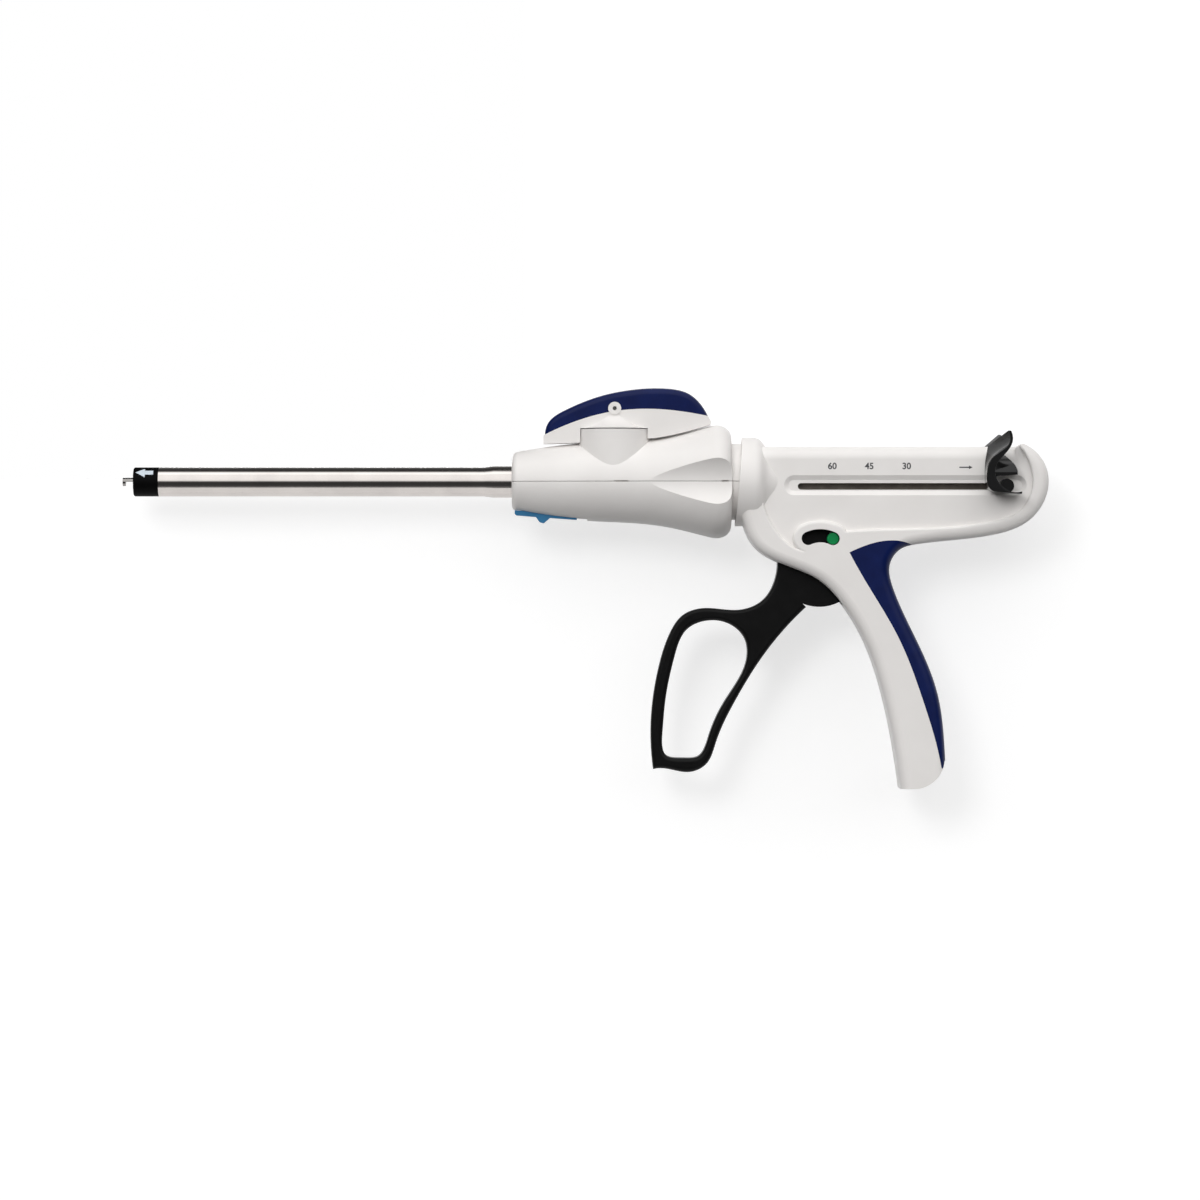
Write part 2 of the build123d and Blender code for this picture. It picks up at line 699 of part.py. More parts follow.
def guide_rails():
    """Rails on the cavity walls that the rack slides between, above and below the slot."""
    beside = rack_half_width + running_gap
    upper_low = slot_level + slot_half_height + running_gap
    lower_top = slot_level - slot_half_height - running_gap
    roof = rack_top + running_gap
    floor = -rack_depth - running_gap
    over = rack_half_width - guide_overlap
    wall = cavity_half + overrun
    rails = block(guide_start, guide_end, beside, wall, upper_low, roof)
    rails += block(guide_start, guide_end, beside, wall, floor, lower_top)
    rails += block(guide_start, guide_end, over, wall, roof, roof + guide_lip)
    rails += block(guide_start, guide_end, over, wall, floor - guide_lip, floor)
    return both_sides(rails)


def cavity():
    room = prism(outline_face(shell_wall), cavity_half)
    room += block(cavity_start, cavity_end, -cavity_half, cavity_half, bar_bottom, cavity_top)
    floor = heel_line[0][1] + shell_wall
    room -= block(0, cutter_reach, -body_half, body_half, floor - cutter_reach, floor)
    front = flange_start + flange_thickness + running_gap + groove_wall
    room -= block(-cutter_reach, front, -body_half, body_half, -cutter_reach, cutter_reach)
    return room


def neck_room():
    """Bore for the knob's neck, groove for its flange and the throat behind."""
    flange_end = flange_start + flange_thickness + running_gap
    bore = rod_x(neck_radius + running_gap, -body_half, flange_end)
    groove = rod_x(flange_radius + running_gap, flange_start - running_gap, flange_end)
    throat = rod_x(throat_radius, 0, body_inside[3][0] + overrun)
    return bore + groove + throat


def leaning_front():
    """Everything ahead of the collar's leaning face."""
    front = block(-cutter_reach, 0, -cutter_reach, cutter_reach, -cutter_reach, cutter_reach)
    return Pos(collar_face, 0, 0) * Rot(0, collar_lean, 0) * front


def pin_bosses():
    inner = trigger_half + running_gap
    wall = cavity_half + overrun
    boss = rod_y(pivot_boss_radius, inner, wall, pivot_setback, pivot_level)
    holder_x, holder_z = holder_pin
    holder_inner = pawl_half + running_gap
    return both_sides(boss) + both_sides(rod_y(pawl_base, holder_inner, wall, holder_x, holder_z))


def pin_holes():
    holder_x, holder_z = holder_pin
    pivot = rod_y(pivot_pin_radius + seat_gap, -pivot_pin_half, pivot_pin_half, pivot_setback, pivot_level)
    return pivot + rod_y(pawl_pin_radius + seat_gap, -cavity_half, cavity_half, holder_x, holder_z)


def hub_room():
    """Room for the trigger hub, open through the front of the grip."""
    half = trigger_half + running_gap
    return rod_y(hub_radius + hub_opening, -half, half, pivot_setback, pivot_level)


def cover_zone():
    edges = [Spline(*cover_edge_front), Spline(*cover_edge_top), *Polyline(*cover_outside).edges()]
    return prism(make_face(edges), body_half + overrun)


def grip_core():
    """What lies under the grip cover."""
    return prism(outline_face(cover_thickness), body_half - cover_thickness)


def grip_cover():
    return (outer_frame() & cover_zone()) - grip_core() - cavity()


def housing():
    frame = outer_frame()
    for pocket in (side_pocket(), mirror(side_pocket(), Plane.XZ)):
        frame -= pocket
    rim_edges = frame.edges().filter_by(on_rim)
    frame = fillet(rim_edges, panel_round)
    frame -= cover_zone() - grip_core()
    shell = frame + upper_bar() + bell() + both_sides(window_ring())
    shell -= both_sides(recess())
    shell -= leaning_front()
    shell -= cavity() + neck_room()
    shell -= spring_room()
    shell += guide_rails() + pin_bosses()
    shell -= slot_cutter() + prism(window_face(window_height), body_half + overrun)
    return shell - hub_room() - pin_holes() - pawl_coil_room(holder_pin)


def on_rim(edge):
    """Edges where the sunk panel meets the flat face of the rim."""
    centre = edge.center()
    flat = abs(abs(centre.Y) - body_half) < seat_gap and edge.bounding_box().size.Y < seat_gap
    long_enough = edge.length > body_half
    inside_outline = centre.X < body_rear[-1][0] and centre.Z > body_front[3][1]
    return flat and long_enough and inside_outline


# Trigger group


def curved_side_edges(solid):
    """Curved edges that lie in one side plane."""
    curved = solid.edges().filter_by(GeomType.BSPLINE)
    return curved.filter_by(lambda edge: edge.bounding_box().size.Y < seat_gap)


def trigger():
    closing = Polyline(trigger_rear[-1], *trigger_root, trigger_front[0])
    arm = prism(make_face([Spline(*trigger_front), Spline(*trigger_rear), *closing.edges()]), trigger_half)
    arm -= prism(make_face(Spline(*trigger_loop, periodic=True)), trigger_half + overrun)
    arm = fillet(curved_side_edges(arm), trigger_round)
    lug_x, lug_z = polar(pawl_pin_reach, pawl_pin_angle)
    arm += rod_y(hub_radius, -trigger_half, trigger_half)
    arm += rod_y(lug_radius, -trigger_half, trigger_half, lug_x, lug_z)
    slot_half = pawl_half + running_gap
    slot_radius = pawl_base + 2 * running_gap
    arm -= rod_y(slot_radius, -slot_half, slot_half, lug_x, lug_z)
    arm -= block(lug_x - slot_radius, lug_x + slot_radius, -slot_half, slot_half, lug_z, lug_z + hub_radius)
    arm -= rod_y(pawl_pin_radius + seat_gap, -trigger_half, trigger_half, lug_x, lug_z)
    arm -= pawl_coil_room((lug_x, lug_z))
    button_x, button_z = polar(window_radius, window_right)
    arm -= rod_y(button_radius + pin_gap, -body_half, body_half, button_x, button_z)
    return arm - rod_y(pivot_pin_radius + pin_gap, -body_half, body_half)


def trigger_pivot_pin():
    return rod_y(pivot_pin_radius, -pivot_pin_half, pivot_pin_half)


def safety_button():
    x, z = polar(window_radius, window_right)
    button = rod_y(button_radius, -button_half, button_half, x, z)
    return fillet(button.edges().filter_by(GeomType.CIRCLE), button_dish)


def pawl(pin, tip, back):
    """Pawl round its pin, with a hooked tip whose flat face looks towards the shaft."""
    pin_x, pin_z = pin
    tip_x, tip_z = tip
    reach_x = tip_x - pin_x
    reach_z = tip_z - pin_z
    length = hypot(reach_x, reach_z)
    side_x = reach_z / length * pawl_base
    side_z = -reach_x / length * pawl_base
    arm = polygon([(pin_x - side_x, pin_z - side_z), (tip_x, tip_z), (tip_x + back, tip_z - tooth_depth),
                   (pin_x + side_x, pin_z + side_z)])
    solid = prism(arm, pawl_half) + rod_y(pawl_base, -pawl_half, pawl_half, pin_x, pin_z)
    return solid - rod_y(pawl_pin_radius + pin_gap, -pawl_half - overrun, pawl_half + overrun, pin_x, pin_z)


def drive_pawl():
    return pawl(polar(pawl_pin_reach, pawl_pin_angle), polar(pawl_tip_reach, pawl_tip_angle), pawl_tip_back)


def drive_pawl_pin():
    x, z = polar(pawl_pin_reach, pawl_pin_angle)
    return rod_y(pawl_pin_radius, -trigger_half, trigger_half, x, z)


def anti_reverse_pawl():
    return pawl(holder_pin, holder_tip, holder_tip_back)


def anti_reverse_pin():
    x, z = holder_pin
    return rod_y(pawl_pin_radius, -cavity_half, cavity_half, x, z)


# Rack group


def firing_rack():
    front = rack_inset
    end = cross_pin_setback + rack_tail
    rack = block(front, end, -rack_half_width, rack_half_width, -rack_depth, rack_top)
    for index in range(tooth_count):
        start = front + tooth_start + index * tooth_pitch
        tooth_end = start + tooth_pitch - tooth_land
        notch = polygon([(start, -rack_depth - overrun), (start, tooth_depth - rack_depth),
                         (tooth_end, -rack_depth), (tooth_end, -rack_depth - overrun)])
        rack -= prism(notch, rack_half_width + overrun)
    head_front = front - running_gap + neck_rod_length - running_gap
    head_back = head_front + head_rod_length + 2 * running_gap
    neck_side = neck_rod_radius + running_gap
    head_side = head_rod_radius + running_gap
    for side, start in ((neck_side, front - overrun), (head_side, head_front)):
        rack -= rod_x(side, start, head_back)
        rack -= block(start, head_back, -side, side, 0, rack_top + overrun)
    return rack - rod_y(cross_pin_radius + seat_gap, -body_half, body_half, cross_pin_setback, slot_level)


def retraction_cross_pin():
    half = wing_inner + wing_pin_depth
    return rod_y(cross_pin_radius, -half, half)


def wing_section(front, rear, y):
    """Side view of the blade at one distance from the middle plane."""
    tip = Line(front[-1], rear[0])
    edges = [Spline(*front), tip, Spline(*rear), *Polyline(*wing_lip).edges()]
    return Pos(0, y, 0) * (Plane.XZ * make_face(edges))


def wing_gusset():
    """Domed rib behind the blade, deepest at its lower edge."""
    low = gusset_dome[-1][1]
    side_view = make_face([Spline(*gusset_edge), *Polyline(*gusset_back).edges()])
    plate = slab(side_view, wing_inner, wing_inner + gusset_dome[-1][0])
    arc = ThreePointArc(*gusset_dome)
    end_view = make_face([arc, *Polyline(gusset_dome[-1], (0, low), gusset_dome[0]).edges()])
    dome = extrude(Plane.YZ * Pos(wing_inner, 0) * end_view, wing_span, both=True)
    return plate & dome


def retraction_wing():
    """Wing on the far side: a blade that sweeps back towards its tip, with a hub and a gusset."""
    root = wing_section(wing_root_front, wing_root_rear, wing_inner)
    wing = loft([root, wing_section(wing_tip_front, wing_tip_rear, wing_inner + wing_span)])
    wing = fillet(wing.edges().group_by(Axis.Y)[-1], wing_round)
    wing += rod_y(wing_hub_radius, wing_inner, wing_inner + wing_pin_depth + overrun)
    wing += wing_gusset()
    return wing - rod_y(cross_pin_radius + seat_gap, 0, wing_inner + wing_pin_depth)


# Springs


def trigger_return_spring():
    turns = coil(return_coil_radius, return_wire_radius, return_coil_pitch, return_coil_turns)
    return Pos(0, trigger_half + running_gap + return_wire_radius, 0) * Rot(-90, 0, 0) * turns


def spring_room():
    """Round pocket for the return spring in the wall beside the trigger hub."""
    inner = trigger_half + running_gap / 2
    depth = 2 * return_wire_radius + return_coil_pitch * return_coil_turns + 2 * running_gap
    reach = return_coil_radius + return_wire_radius + running_gap
    return both_sides(rod_y(reach, inner, inner + depth, pivot_setback, pivot_level))


def pawl_coil(pin):
    """Spring beside a pawl, round its pin."""
    x, z = pin
    turns = coil(pawl_coil_radius, pawl_wire_radius, pawl_coil_pitch, pawl_coil_turns)
    return Pos(x, pawl_half + running_gap + pawl_wire_radius, z) * Rot(-90, 0, 0) * turns


def pawl_coil_room(pin):
    """Counterbore for that spring."""
    x, z = pin
    start = pawl_half + running_gap / 2
    depth = 2 * pawl_wire_radius + pawl_coil_pitch * pawl_coil_turns + running_gap
    return rod_y(pawl_coil_radius + pawl_wire_radius + running_gap, start, start + depth, x, z)


def pieces():
    """Every piece at its place, by name."""
    knob = knob_place * knob_body()
    shell = body_place * housing()
    wing = wing_place * retraction_wing()
    return {
        "loading_collar": loading_collar(),
        "shaft_tube": shaft_tube(),
        "tube_ferrule": tube_ferrule(),
        "shaft_core": shaft_core(),
        "control_rod": control_rod(),
        "articulation_link": articulation_link(),
        "unload_latch_bar": unload_latch_bar(),
        "unload_button": knob_place * unload_button(),
        "unload_spring": knob_place * unload_spring(),
        "knob_upper_half": split(knob, Plane.XY.offset(seam_gap / 2), keep=Keep.TOP),
        "knob_lower_half": split(knob, Plane.XY.offset(-seam_gap / 2), keep=Keep.BOTTOM),
        "lever_base": lever_place * lever_base(),
        "lever_cover": lever_place * lever_cover(),
        "lever_cover_pin": lever_place * lever_cover_pin(),
        "lever_spindle": Pos(shaft_length + turret_setback, 0, 0) * lever_spindle(),
        "housing_left": split(shell, Plane.XZ.offset(seam_gap / 2), keep=Keep.TOP),
        "housing_right": split(shell, Plane.XZ.offset(-seam_gap / 2), keep=Keep.BOTTOM),
        "grip_cover": body_place * grip_cover(),
        "trigger": pivot_place * trigger(),
        "trigger_pivot_pin": pivot_place * trigger_pivot_pin(),
        "trigger_return_spring": pivot_place * trigger_return_spring(),
        "safety_button": pivot_place * safety_button(),
        "drive_pawl": pivot_place * drive_pawl(),
        "drive_pawl_pin": pivot_place * drive_pawl_pin(),
        "drive_pawl_spring": pivot_place * pawl_coil(polar(pawl_pin_reach, pawl_pin_angle)),
        "anti_reverse_spring": body_place * pawl_coil(holder_pin),
        "anti_reverse_pawl": body_place * anti_reverse_pawl(),
        "anti_reverse_pin": body_place * anti_reverse_pin(),
        "firing_rack": body_place * firing_rack(),
        "retraction_cross_pin": wing_place * retraction_cross_pin(),
        "retraction_knob_left": mirror(wing, Plane.XZ),
        "retraction_knob_right": wing,
    }


os.makedirs("parts", exist_ok=True)
for name, piece in pieces().items():
    export_step(piece, "parts/" + name + ".step")
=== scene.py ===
import json
import math

import bpy
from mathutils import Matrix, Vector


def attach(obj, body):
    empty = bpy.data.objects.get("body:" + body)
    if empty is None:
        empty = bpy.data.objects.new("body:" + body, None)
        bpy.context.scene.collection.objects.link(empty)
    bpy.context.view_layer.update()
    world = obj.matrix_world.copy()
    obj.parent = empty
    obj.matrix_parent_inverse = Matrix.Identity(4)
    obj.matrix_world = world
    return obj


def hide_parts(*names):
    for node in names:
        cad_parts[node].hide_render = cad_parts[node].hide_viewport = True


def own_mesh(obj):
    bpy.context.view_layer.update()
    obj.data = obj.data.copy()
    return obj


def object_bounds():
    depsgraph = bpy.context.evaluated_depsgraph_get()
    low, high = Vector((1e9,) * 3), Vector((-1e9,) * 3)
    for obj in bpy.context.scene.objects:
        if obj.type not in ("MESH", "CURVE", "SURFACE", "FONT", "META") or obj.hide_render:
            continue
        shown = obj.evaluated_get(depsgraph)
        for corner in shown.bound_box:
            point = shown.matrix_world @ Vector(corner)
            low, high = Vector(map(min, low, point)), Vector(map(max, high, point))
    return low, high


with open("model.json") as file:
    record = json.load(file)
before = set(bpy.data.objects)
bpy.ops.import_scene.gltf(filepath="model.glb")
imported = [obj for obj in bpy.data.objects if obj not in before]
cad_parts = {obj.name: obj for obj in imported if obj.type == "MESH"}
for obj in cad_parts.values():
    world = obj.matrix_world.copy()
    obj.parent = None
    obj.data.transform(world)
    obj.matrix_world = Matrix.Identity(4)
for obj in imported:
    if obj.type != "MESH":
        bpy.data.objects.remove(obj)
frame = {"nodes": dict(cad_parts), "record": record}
cad_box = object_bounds()

# Looks of a linear surgical stapler handle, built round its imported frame. Metres.
MM = 0.001

# Camera: square on to the left side, so far away that the sides hardly converge
CAMERA_AIM_X = 191.1 * MM
CAMERA_AIM_Z = -48.4 * MM
CAMERA_DISTANCE = 2.1
FRAME_WIDTH = 492.0 * MM
SENSOR_WIDTH = 36.0     # in millimetres, as the camera takes it

# Stage: the backdrop is low behind the shaft, so that the steel also mirrors the darker room behind it
BACKDROP_GAP = 4 * MM
BACKDROP_STEP = 160 * MM
BACKDROP_LOW_TOP = 2 * MM
BACKDROP_TONE, BACKDROP_GLOW = 0.5, 0.62
FLOOR_LEVEL = -0.31
FLOOR_FRONT = -0.3
FLOOR_TONE, FLOOR_GLOW = 0.24, 0.84
STAGE_REACH = 4.0

# Light: a soft tent, with its tones from the side away from its middle (0) to its middle (1)
TENT_HEIGHT = math.radians(45)      # of the middle, in front and above
TENT_SQUEEZE = (0.5, 1.0, 1.0)      # makes the tent longer along the shaft
TENT_TONES = [(0.0, 0.16), (0.55, 0.2), (0.62, 0.06), (0.83, 0.05),
              (0.87, 0.3), (0.91, 1.4), (1.0, 1.5)]

# Light: three softboxes, each with its place, its size and its power in watts
SOFTBOXES = {
    "key": ((-0.26, -1.55, 0.5), (0.5, 0.5), 7.2),
    "top": ((0.19, -0.5, 1.2), (1.4, 0.35), 0.7),
    "behind": ((0.25, 1.4, 0.15), (1.4, 0.35), 9.0),
}
HIDDEN_IN_GLOSS = "key"     # its square would show on the tube as a hard white patch

# Materials: span of the noise that a tint spreads between its two tones
TINT_START, TINT_END = 0.3, 0.7

# Marks printed on the side panel
PANEL_HALF = 12.0 * MM
PRINT_THICKNESS = 0.04 * MM
NUMBER_HEIGHT = 2.6 * MM
NUMBER_LEVEL = 6.1 * MM
NUMBER_PLACES = {"60": 285.8 * MM, "45": 300.9 * MM, "30": 316.1 * MM}
NUMBER_BOLDNESS = 0.09 * MM
CAP_SHARE = 0.72        # height of a figure against the font's size
ARROW_START = 337.6 * MM
ARROW_END = 343.0 * MM
ARROW_LEVEL = 5.7 * MM
ARROW_SHAFT = 0.5 * MM
ARROW_HEAD = 1.5 * MM

# Arrow printed round the loading collar
COLLAR_RADIUS = 5.95 * MM
COLLAR_ARROW_TIP = 1.1 * MM
COLLAR_ARROW_HEAD = 4.9 * MM
COLLAR_ARROW_END = 8.3 * MM
COLLAR_ARROW_ANGLE = math.radians(39)       # from the left side upwards
COLLAR_ARROW_HEAD_HALF = math.radians(22)
COLLAR_ARROW_SHAFT_HALF = math.radians(10)
COLLAR_ARROW_STEPS = 8
COLLAR_ARROW_BLUNTNESS = 0.04       # width of the tip against the head's


# Material helpers


def new_material(name, metallic=0.0, gloss=0.5):
    made = bpy.data.materials.new(name)
    made.use_nodes = True
    shader(made).inputs["Metallic"].default_value = metallic
    shader(made).inputs["Specular IOR Level"].default_value = gloss
    return made


def shader(made):
    return made.node_tree.nodes["Principled BSDF"]


def grain(made, per_metre, stretch=(1.0, 1.0, 1.0), detail=4.0):
    """Noise in the piece's own space, with so many features to the metre."""
    nodes, links = made.node_tree.nodes, made.node_tree.links
    place = nodes.new("ShaderNodeTexCoord")
    mapping = nodes.new("ShaderNodeMapping")
    mapping.inputs["Scale"].default_value = [per_metre * share for share in stretch]
    noise = nodes.new("ShaderNodeTexNoise")
    noise.inputs["Scale"].default_value = 1.0
    noise.inputs["Detail"].default_value = detail
    links.new(place.outputs["Object"], mapping.inputs["Vector"])
    links.new(mapping.outputs["Vector"], noise.inputs["Vector"])
    return noise.outputs["Fac"]


def drawn_lines(made):
    """Fine lines along the shaft, as on drawn steel."""
    return grain(made, per_metre=2500, stretch=(0.05, 1.0, 1.0), detail=3.0)


def tint(made, pattern, dark, light):
    """Base colour between two tones."""
    nodes, links = made.node_tree.nodes, made.node_tree.links
    ramp = nodes.new("ShaderNodeValToRGB")
    low, high = ramp.color_ramp.elements
    low.position, high.position = TINT_START, TINT_END
    low.color, high.color = (*dark, 1.0), (*light, 1.0)
    links.new(pattern, ramp.inputs["Fac"])
    links.new(ramp.outputs["Color"], shader(made).inputs["Base Color"])


def polish(made, pattern, smooth, rough):
    """Roughness between two values."""
    nodes, links = made.node_tree.nodes, made.node_tree.links
    spread = nodes.new("ShaderNodeMapRange")
    spread.inputs["To Min"].default_value = smooth
    spread.inputs["To Max"].default_value = rough
    links.new(pattern, spread.inputs["Value"])
    links.new(spread.outputs["Result"], shader(made).inputs["Roughness"])


def relief(made, pattern, height, strength):
    """Fine surface texture of a height in metres."""
    nodes, links = made.node_tree.nodes, made.node_tree.links
    bump = nodes.new("ShaderNodeBump")
    bump.inputs["Distance"].default_value = height
    bump.inputs["Strength"].default_value = strength
    links.new(pattern, bump.inputs["Height"])
    links.new(bump.outputs["Normal"], shader(made).inputs["Normal"])


# Materials: one for each slot of the record, three for single nodes, and two inks


def white_plastic():
    made = new_material("white_plastic")
    tint(made, grain(made, per_metre=60), dark=(0.80, 0.775, 0.755), light=(0.835, 0.812, 0.792))
    polish(made, grain(made, per_metre=300), smooth=0.34, rough=0.46)
    relief(made, grain(made, per_metre=2500, detail=2.0), height=0.02 * MM, strength=0.25)
    return made


def navy_soft():
    made = new_material("navy_soft", gloss=0.18)
    tint(made, grain(made, per_metre=150), dark=(0.001, 0.006, 0.056), light=(0.002, 0.009, 0.074))
    polish(made, grain(made, per_metre=400), smooth=0.3, rough=0.4)
    relief(made, grain(made, per_metre=3500, detail=2.0), height=0.03 * MM, strength=0.4)
    return made


def black_grained():
    made = new_material("black_grained", gloss=0.15)
    tint(made, grain(made, per_metre=200), dark=(0.0015, 0.0015, 0.0016), light=(0.003, 0.003, 0.0032))
    polish(made, grain(made, per_metre=1200), smooth=0.28, rough=0.42)
    relief(made, grain(made, per_metre=2800, detail=3.0), height=0.06 * MM, strength=0.6)
    return made


def black_matt():
    """Dull black of the loading collar."""
    made = new_material("black_matt", gloss=0.05)
    tint(made, grain(made, per_metre=200), dark=(0.0012, 0.0012, 0.0013), light=(0.0025, 0.0025, 0.0027))
    polish(made, grain(made, per_metre=1200), smooth=0.45, rough=0.6)
    relief(made, grain(made, per_metre=2800, detail=3.0), height=0.03 * MM, strength=0.4)
    return made


def black_gloss():
    made = new_material("black_gloss", gloss=0.4)
    tint(made, grain(made, per_metre=120), dark=(0.003, 0.003, 0.0032), light=(0.005, 0.005, 0.0053))
    polish(made, grain(made, per_metre=350), smooth=0.08, rough=0.15)
    relief(made, grain(made, per_metre=900, detail=2.0), height=0.01 * MM, strength=0.15)
    return made


def blue_plastic():
    made = new_material("blue_plastic", gloss=0.35)
    tint(made, grain(made, per_metre=200), dark=(0.025, 0.16, 0.33), light=(0.035, 0.19, 0.38))
    polish(made, grain(made, per_metre=500), smooth=0.3, rough=0.42)
    relief(made, grain(made, per_metre=2500, detail=2.0), height=0.02 * MM, strength=0.25)
    return made


def green_plastic():
    made = new_material("green_plastic", gloss=0.2)
    tint(made, grain(made, per_metre=200), dark=(0.001, 0.19, 0.052), light=(0.002, 0.22, 0.06))
    polish(made, grain(made, per_metre=500), smooth=0.3, rough=0.4)
    relief(made, grain(made, per_metre=2500, detail=2.0), height=0.02 * MM, strength=0.25)
    return made


def shaft_steel():
    """Ground tube: fine rings round the shaft."""
    made = new_material("shaft_steel", metallic=1.0)
    rings = grain(made, per_metre=4000, stretch=(1.0, 0.02, 0.02), detail=3.0)
    tint(made, grain(made, per_metre=90), dark=(0.54, 0.505, 0.485), light=(0.60, 0.565, 0.54))
    polish(made, rings, smooth=0.09, rough=0.15)
    return made


def inner_steel():
    made = new_material("inner_steel", metallic=1.0)
    lines = drawn_lines(made)
    tint(made, grain(made, per_metre=150), dark=(0.17, 0.165, 0.16), light=(0.23, 0.225, 0.22))
    polish(made, lines, smooth=0.15, rough=0.28)
    relief(made, lines, height=0.006 * MM, strength=0.3)
    return made


def dark_steel():
    """Blackened steel of the rack, seen through the slot."""
    made = new_material("dark_steel", metallic=1.0)
    lines = drawn_lines(made)
    tint(made, grain(made, per_metre=150), dark=(0.15, 0.135, 0.12), light=(0.21, 0.19, 0.17))
    polish(made, lines, smooth=0.35, rough=0.5)
    relief(made, lines, height=0.006 * MM, strength=0.3)
    return made


def rod_steel():
    """Bright rod whose hook stands out of the collar."""
    made = new_material("rod_steel", metallic=1.0)
    lines = drawn_lines(made)
    tint(made, grain(made, per_metre=150), dark=(0.25, 0.24, 0.23), light=(0.32, 0.31, 0.3))
    polish(made, lines, smooth=0.1, rough=0.2)
    return made


def spring_steel():
    made = new_material("spring_steel", metallic=1.0)
    tint(made, grain(made, per_metre=500), dark=(0.36, 0.36, 0.37), light=(0.46, 0.46, 0.47))
    polish(made, grain(made, per_metre=2500), smooth=0.25, rough=0.4)
    return made


def inner_plastic():
    made = new_material("inner_plastic")
    tint(made, grain(made, per_metre=150), dark=(0.22, 0.22, 0.23), light=(0.27, 0.27, 0.28))
    polish(made, grain(made, per_metre=600), smooth=0.45, rough=0.6)
    relief(made, grain(made, per_metre=2500, detail=2.0), height=0.02 * MM, strength=0.3)
    return made


def grey_ink():
    made = new_material("grey_ink")
    tint(made, grain(made, per_metre=1500), dark=(0.06, 0.06, 0.064), light=(0.085, 0.085, 0.09))
    polish(made, grain(made, per_metre=2500), smooth=0.5, rough=0.65)
    return made


def white_ink():
    made = new_material("white_ink")
    tint(made, grain(made, per_metre=1500), dark=(0.56, 0.63, 0.70), light=(0.63, 0.70, 0.77))
    polish(made, grain(made, per_metre=2500), smooth=0.5, rough=0.65)
    return made


def dress_nodes():
    """Every node of the frame takes the material of its slot, and three take one of their own."""
    makers = [white_plastic, navy_soft, black_grained, black_gloss, blue_plastic, green_plastic,
              shaft_steel, inner_steel, spring_steel, inner_plastic]
    made = {maker.__name__: maker() for maker in makers}
    own = {"firing_rack": dark_steel(), "control_rod": rod_steel(), "loading_collar": black_matt()}
    for subpart in frame["record"]["subparts"]:
        name = subpart["node"]
        materials = frame["nodes"][name].data.materials
        materials.clear()
        materials.append(own.get(name, made[subpart["material_slot"]]))


# Added pieces


def add_piece(name, mesh, body, look):
    piece = bpy.data.objects.new(name, mesh)
    bpy.context.scene.collection.objects.link(piece)
    mesh.materials.clear()
    mesh.materials.append(look)
    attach(piece, body)
    return piece


def printed_number(text, x, look):
    """Figures printed on the left panel, read from the left side."""
    curve = bpy.data.curves.new("figures", "FONT")
    curve.body = text
    curve.size = NUMBER_HEIGHT / CAP_SHARE
    curve.offset = NUMBER_BOLDNESS
    curve.extrude = PRINT_THICKNESS / 2
    curve.align_x = "CENTER"
    curve.align_y = "CENTER"
    writing = bpy.data.objects.new("figures", curve)
    bpy.context.scene.collection.objects.link(writing)
    mesh = bpy.data.meshes.new_from_object(writing.evaluated_get(bpy.context.evaluated_depsgraph_get()))
    bpy.data.objects.remove(writing)
    for vertex in mesh.vertices:
        across, up, out = vertex.co
        vertex.co = (x + across, -PANEL_HALF - PRINT_THICKNESS / 2 - out, NUMBER_LEVEL + up)
    add_piece("number_" + text, mesh, "housing", look)


def panel_arrow(look):
    """Plain arrow towards the rear, printed beside the numbers."""
    outer = -PANEL_HALF - PRINT_THICKNESS
    head = ARROW_END - ARROW_HEAD
    shaft = ARROW_SHAFT / 2
    flank = ARROW_HEAD / 2
    outline = [(ARROW_START, -shaft), (head, -shaft), (head, -flank), (ARROW_END, 0.0),
               (head, flank), (head, shaft), (ARROW_START, shaft)]
    count = len(outline)
    points = [(x, outer, ARROW_LEVEL + z) for x, z in outline]
    points += [(x, -PANEL_HALF, ARROW_LEVEL + z) for x, z in outline]
    faces = [tuple(range(count)), tuple(reversed(range(count, 2 * count)))]
    for start in range(count):
        end = (start + 1) % count
        faces.append((start, start + count, end + count, end))
    mesh = bpy.data.meshes.new("panel_arrow")
    mesh.from_pydata(points, [], faces)
    add_piece("panel_arrow", mesh, "housing", look)


def collar_arrow(look):
    """Plain arrow towards the tip, wrapped round the loading collar."""
    steps = COLLAR_ARROW_STEPS
    stations = []
    for step in range(steps + 1):
        share = step / steps
        x = COLLAR_ARROW_TIP + share * (COLLAR_ARROW_HEAD - COLLAR_ARROW_TIP)
        stations.append((x, COLLAR_ARROW_HEAD_HALF * max(share, COLLAR_ARROW_BLUNTNESS)))
    stations.append((COLLAR_ARROW_HEAD, COLLAR_ARROW_SHAFT_HALF))
    stations.append((COLLAR_ARROW_END, COLLAR_ARROW_SHAFT_HALF))
    points = []
    for radius in (COLLAR_RADIUS + PRINT_THICKNESS, COLLAR_RADIUS):
        for x, half in stations:
            for step in range(steps + 1):
                angle = COLLAR_ARROW_ANGLE + half * (2 * step / steps - 1)
                points.append((x, -radius * math.cos(angle), radius * math.sin(angle)))
    row = steps + 1
    layer = row * len(stations)
    faces = []
    for strip in [*range(steps), steps + 1]:
        for step in range(steps):
            start = strip * row + step
            face = (start, start + 1, start + row + 1, start + row)
            faces.append(face)
            faces.append(tuple(index + layer for index in reversed(face)))
    mesh = bpy.data.meshes.new("collar_arrow")
    mesh.from_pydata(points, [], faces)
    mesh.validate()
    add_piece("collar_arrow", mesh, "rotation_knob", look)


def slider_spring():
    """Copy of the unload spring's coil as a piece of its own on the rotation knob, with the node hidden.
    """
    node = frame["nodes"]["unload_spring"]
    steel = node.data.materials[0]
    coil = add_piece("slider_spring", node.data.copy(), "rotation_knob", steel)
    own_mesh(coil)
    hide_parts("unload_spring")


# Stage, light and camera


